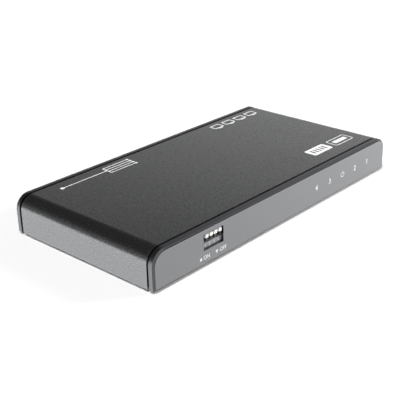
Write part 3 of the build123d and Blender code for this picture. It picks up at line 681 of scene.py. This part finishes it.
class SPLITTER_OT_board(bpy.types.Operator):
    """Finishes the circuit board and what stands on it, and adds small capacitors to it"""

    bl_idname = "splitter.board"
    bl_label = "Circuit board"

    def execute(self, context):
        dress(solder_mask(), "main_board")
        # Zinc on steel: bluish bright metal with cloudy passivation.
        zinc = grained(
            "zinc_plated_steel", srgb("#B9BCC0"), metallic=1.0, roughness=0.3,
            grain=0.3 * MM, relief=0.003 * MM, shade=0.12,
        )
        dress(zinc, "board_screws")
        # Turned brass under nickel: a warm grey metal, its shine broken by fine tool marks.
        brass = grained(
            "turned_nickel_brass", srgb("#C8C2AC"), metallic=1.0, roughness=0.26,
            grain=0.1 * MM, relief=0.002 * MM, shade=0.08,
        )
        dress(brass, "board_standoffs")
        dress(tin_plate(), "chip_leads", "power_jack_terminals", "clock_crystal")
        # Moulded epoxy: charcoal and matt, sprinkled with pale filler.
        epoxy = grained(
            "moulded_epoxy", srgb("#262626"), metallic=0.0, roughness=0.6,
            grain=0.1 * MM, relief=0.006 * MM, shade=0.3,
        )
        dress(epoxy, "splitter_chip", "control_chip", "regulator_chips")
        # Silicone filled with ceramic powder: pale grey, dull and soft.
        silicone = grained(
            "filled_silicone", srgb("#A9AFB4"), metallic=0.0, roughness=0.8,
            grain=0.3 * MM, relief=0.02 * MM, shade=0.08,
        )
        dress(silicone, "thermal_pad")
        # Extruded and black anodised: a dull dark metal, slightly rough to the eye.
        anodised = grained(
            "black_anodised_extrusion", srgb("#3C3D3F"), metallic=1.0, roughness=0.4,
            grain=0.2 * MM, relief=0.008 * MM, shade=0.15,
        )
        dress(anodised, "heat_sink", edge=0.08 * MM)
        # Pressed ferrite powder: dark grey and stony.
        ferrite = grained(
            "pressed_ferrite", srgb("#39393A"), metallic=0.0, roughness=0.7,
            grain=0.2 * MM, relief=0.02 * MM, shade=0.2,
        )
        dress(ferrite, "power_inductors")
        # Drawn aluminium: bright, with a faint satin from the die.
        drawn = grained(
            "drawn_aluminium", srgb("#D4D5D7"), metallic=1.0, roughness=0.28,
            grain=0.15 * MM, relief=0.002 * MM, shade=0.05,
        )
        dress(drawn, "capacitors")
        self.add_capacitors()
        return {"FINISHED"}

    def add_capacitors(self):
        """A row of small ceramic capacitors for each video socket."""
        # Fired ceramic: light brown and faintly glossy, with a speckled surface.
        ceramic = grained(
            "fired_ceramic", srgb("#A98C66"), metallic=0.0, roughness=0.35,
            grain=0.1 * MM, relief=0.003 * MM, shade=0.1,
        )
        board_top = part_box("main_board")[1][2]
        size = Vector((0.5, 1.0, 0.5)) * MM
        count, pitch, y = 8, 1.6 * MM, 25.5 * MM
        rows = []
        for name in SOCKETS:
            first = middle_of(f"{name}_shell")[0] - (count - 1) / 2 * pitch
            one = box_mesh((-size.x / 2, -size.y / 2, 0), (size.x / 2, size.y / 2, size.z))
            copies = row(one, count, (pitch, 0, 0), ceramic)
            copies.transform(Matrix.Translation((first, y, board_top)))
            rows.append(copies)
        piece("socket_capacitors", rows, ceramic)


def solder_mask():
    """Green solder mask on glass-fibre board: glossy, and paler over its copper tracks."""
    material, tree, place = surface("green_solder_mask")
    green, copper = srgb("#1D5A3A"), tone(srgb("#2F7A50"))
    track_unit, thread, shade, relief = 0.9 * MM, 0.3 * MM, 0.12, 0.02 * MM
    tracks = add(tree, "ShaderNodeTexBrick", {
        "Vector": place, "Scale": 1 / track_unit, "Mortar Size": 0.16, "Mortar Smooth": 0.1,
        "Brick Width": 9.0, "Row Height": 0.5,
    }).outputs["Fac"]
    weave = add(tree, "ShaderNodeTexNoise", {"Vector": place, "Scale": 1 / thread}).outputs["Fac"]
    tones = {MIX_SHARE: weave, MIX_FROM: tone(green, 1 - shade), MIX_TO: tone(green, 1 + shade)}
    mask = add(tree, "ShaderNodeMix", tones, data_type="RGBA").outputs[MIXED]
    tones = {MIX_SHARE: tracks, MIX_FROM: copper, MIX_TO: mask}
    bump = add(tree, "ShaderNodeBump", {"Height": tracks, "Distance": relief})
    shader = add(tree, "ShaderNodeBsdfPrincipled", {
        "Base Color": add(tree, "ShaderNodeMix", tones, data_type="RGBA").outputs[MIXED],
        "Roughness": 0.3,
        "Normal": bump.outputs["Normal"],
    })
    add(tree, "ShaderNodeOutputMaterial", {"Surface": shader.outputs["BSDF"]})
    return material


class SPLITTER_OT_cover_print(bpy.types.Operator):
    """Prints plain marks on the cover: a line that branches to four, four screens, two badges"""

    bl_idname = "splitter.cover_print"
    bl_label = "Marks on the cover"

    def execute(self, context):
        self.print_branches()
        self.print_screens()
        self.print_badges()
        return {"FINISHED"}

    def print_branches(self):
        """A line that branches to four dots; its parts meet edge to edge."""
        left, right, y = -60.5 * MM, -21.5 * MM, 30.6 * MM
        stroke, step, dot, disc = 0.5 * MM, 2.0 * MM, 1.3 * MM, 1.8 * MM
        fork, sharp, count = right - 14 * MM, stroke / 50, 4
        rises = [step * (place - (count - 1) / 2) for place in range(count)]
        bars = [(left + disc / 2, fork - stroke / 2, 0.0)]
        bars += [(fork + stroke / 2, right, rise) for rise in rises]
        marks = [
            flat_mesh([rounded(to - start, stroke, sharp)], facing_up((start + to) / 2, y + rise))
            for start, to, rise in bars
        ]
        spine = rounded(stroke, rises[-1] - rises[0] + stroke, sharp)
        marks.append(flat_mesh([spine], facing_up(fork, y)))
        one_dot = flat_mesh([rounded(dot, dot, (dot - stroke) / 2)], Matrix.Identity(4))
        dots = row(one_dot, count, (0, step, 0), ink())
        dots.transform(facing_up(right + dot / 2, y + rises[0]))
        start_disc = flat_mesh([rounded(disc, disc, (disc - stroke) / 2)], facing_up(left, y))
        piece("branch_marks", [*marks, dots, start_disc], ink())

    def print_screens(self):
        """Four plain screen outlines in a row, each above its foot."""
        count, pitch = 4, 8.6 * MM
        first = 51.0 * MM - (count - 1) / 2 * pitch
        width, height, corner, stroke = 6.6 * MM, 4.4 * MM, 0.8 * MM, 0.65 * MM
        foot_width, foot_height, foot_corner = 3.0 * MM, 0.6 * MM, 0.2 * MM
        screen_y, foot_y = 31.4 * MM, 28.7 * MM
        screen = frame_outline(width, height, corner, stroke)
        foot = [rounded(foot_width, foot_height, foot_corner)]
        rows = []
        for outlines, y in ((screen, screen_y), (foot, foot_y)):
            copies = row(flat_mesh(outlines, Matrix.Identity(4)), count, (pitch, 0, 0), ink())
            copies.transform(facing_up(first, y))
            rows.append(copies)
        piece("screen_marks", rows, ink())

    def print_badges(self):
        """A filled badge with plain bars left out of it, and an open one round a solid block."""
        width, height, corner, stroke = 14.0 * MM, 6.8 * MM, 1.1 * MM, 0.45 * MM
        bar_width, bar_height, bar_corner, bar_pitch = 1.0 * MM, 3.6 * MM, 0.2 * MM, 2.2 * MM
        block_width, block_height, block_corner = 9.6 * MM, 2.6 * MM, 0.4 * MM
        filled_place = facing_up(43.4 * MM, -26.2 * MM)
        open_place = facing_up(60.0 * MM, -26.4 * MM)
        bars = [
            rounded(bar_width, bar_height, bar_corner, place * bar_pitch)
            for place in range(-2, 3)
        ]
        filled = flat_mesh([rounded(width, height, corner), *bars], filled_place)
        edge = flat_mesh(frame_outline(width, height, corner, stroke), open_place)
        block = flat_mesh([rounded(block_width, block_height, block_corner)], open_place)
        piece("badge_marks", [filled, edge, block], ink())


class SPLITTER_OT_stage(bpy.types.Operator):
    """Sets the floor, the light and the camera"""

    bl_idname = "splitter.stage"
    bl_label = "Stage"

    def execute(self, context):
        looks = context.scene.stage_looks
        self.lay_floor(looks)
        self.light(looks)
        self.grade_room()
        self.place_camera(context.scene)
        context.scene.view_settings.view_transform = "Standard"
        return {"FINISHED"}

    def lay_floor(self, looks):
        """A plain pale floor at the feet."""
        half = looks.size / 2
        floor_mesh = bpy.data.meshes.new("floor")
        corners = [(-half, -half, 0), (half, -half, 0), (half, half, 0), (-half, half, 0)]
        floor_mesh.from_pydata(corners, [], [(0, 1, 2, 3)])
        # Matt laminate: even and pale.
        floor_mesh.materials.append(grained(
            "matt_laminate", looks.floor, metallic=0.0, roughness=0.9,
            grain=2 * MM, relief=0.0, shade=0.004, **{"Specular IOR Level": 0.0},
        ))
        floor = bpy.data.objects.new("floor", floor_mesh)
        bpy.context.collection.objects.link(floor)

    def light(self, looks):
        """A soft sun from the left and a round lamp at the front right."""
        sun_width, sun_distance = math.radians(30), 1.2
        lamp_width, lamp_distance = 0.12, 0.44
        sun_way, lamp_way = Vector((-0.5, -0.2, 0.85)), Vector((0.63, -0.63, 0.45))
        self.lamp("key", "SUN", looks.key, sun_width, sun_way, sun_distance)
        self.lamp("fill", "AREA", looks.fill, lamp_width, lamp_way, lamp_distance)

    def lamp(self, name, kind, strength, width, direction, distance):
        """A lamp in a direction, aimed at the splitter and unseen in mirrors.

        A sun's width is an angle.
        """
        lamp = bpy.data.lights.new(name, kind)
        lamp.energy = strength
        if kind == "SUN":
            lamp.angle = width
        else:
            lamp.shape = "DISK"
            lamp.size = width
        holder = bpy.data.objects.new(name, lamp)
        turn = direction.to_track_quat("Z", "Y").to_matrix().to_4x4()
        holder.matrix_world = Matrix.Translation(direction * distance) @ turn
        holder.visible_glossy = False
        bpy.context.collection.objects.link(holder)

    def grade_room(self):
        """A room lit low all round, most at the right and in front, under a dark ceiling."""
        ring_top, ceiling_from, ring, ceiling = 0.25, 0.48, 0.43, 0.02
        middle, to_right, to_rear, least, everywhere = 0.55, 1.6, -0.9, 0.3, 0.04
        world = bpy.context.scene.world or bpy.data.worlds.new("room")
        bpy.context.scene.world = world
        world.use_nodes = True
        tree = world.node_tree
        tree.nodes.clear()
        way = add(tree, "ShaderNodeTexCoord").outputs["Generated"]
        split = add(tree, "ShaderNodeSeparateXYZ", {"Vector": way}).outputs
        ringed = add(tree, "ShaderNodeMapRange", {
            "Value": split["Z"], "From Min": ring_top, "From Max": ceiling_from,
            "To Min": ring, "To Max": ceiling,
        }).outputs["Result"]
        across = {0: split["X"], 1: to_right, 2: middle}
        across = add(tree, "ShaderNodeMath", across, operation="MULTIPLY_ADD").outputs["Value"]
        back = {0: split["Y"], 1: to_rear, 2: across}
        back = add(tree, "ShaderNodeMath", back, operation="MULTIPLY_ADD").outputs["Value"]
        kept = {0: back, 1: least}
        kept = add(tree, "ShaderNodeMath", kept, operation="MAXIMUM").outputs["Value"]
        total = {0: ringed, 1: kept, 2: everywhere}
        total = add(tree, "ShaderNodeMath", total, operation="MULTIPLY_ADD").outputs["Value"]
        lit = add(tree, "ShaderNodeBackground", {"Color": (1, 1, 1, 1), "Strength": total})
        add(tree, "ShaderNodeOutputWorld", {"Surface": lit.outputs["Background"]})

    def place_camera(self, scene):
        """The photograph's view: from the front left, a little above."""
        lens = bpy.data.cameras.new("view")
        lens.lens = 78.14
        lens.shift_x, lens.shift_y = -0.0349, -0.0084
        lens.clip_start = 0.01
        place, roll = (-0.26595, -0.23907, 0.1606), math.radians(1.10)
        forward = Vector((0.6793, 0.6106, -0.4072)).normalized()
        across = forward.cross(Vector((0, 0, 1))).normalized()
        across = Matrix.Rotation(roll, 3, forward) @ across
        upward = across.cross(forward)
        turn = Matrix((across, upward, -forward)).transposed().to_4x4()
        camera = bpy.data.objects.new("view", lens)
        camera.matrix_world = Matrix.Translation(place) @ turn
        bpy.context.collection.objects.link(camera)
        scene.camera = camera


PROPERTIES = {"case_looks": CaseLooks, "print_looks": PrintLooks, "stage_looks": StageLooks}
OPERATORS = (
    SPLITTER_OT_case,
    SPLITTER_OT_sockets,
    SPLITTER_OT_power_jack,
    SPLITTER_OT_switch,
    SPLITTER_OT_lamps,
    SPLITTER_OT_board,
    SPLITTER_OT_cover_print,
    SPLITTER_OT_stage,
)


class SPLITTER_PT_panel(bpy.types.Panel):
    """Lists the splitter's pieces"""

    bl_idname = "SPLITTER_PT_panel"
    bl_label = "Video splitter"
    bl_space_type = "VIEW_3D"
    bl_region_type = "UI"
    bl_category = "Splitter"

    def draw(self, context):
        for name, group in PROPERTIES.items():
            looks = getattr(context.scene, name)
            for setting in group.__annotations__:
                self.layout.prop(looks, setting)
        for operator in OPERATORS:
            self.layout.operator(operator.bl_idname)


CLASSES = (*PROPERTIES.values(), *OPERATORS, SPLITTER_PT_panel)


def register():
    for each in CLASSES:
        bpy.utils.register_class(each)
    for name, group in PROPERTIES.items():
        setattr(bpy.types.Scene, name, bpy.props.PointerProperty(type=group))


def unregister():
    for name in PROPERTIES:
        delattr(bpy.types.Scene, name)
    for each in reversed(CLASSES):
        bpy.utils.unregister_class(each)


def main():
    """Makes everything in order."""
    register()
    bpy.ops.splitter.case()
    bpy.ops.splitter.sockets()
    bpy.ops.splitter.power_jack()
    bpy.ops.splitter.switch()
    bpy.ops.splitter.lamps()
    bpy.ops.splitter.board()
    bpy.ops.splitter.cover_print()
    bpy.ops.splitter.stage()


if __name__ == "__main__":
    main()
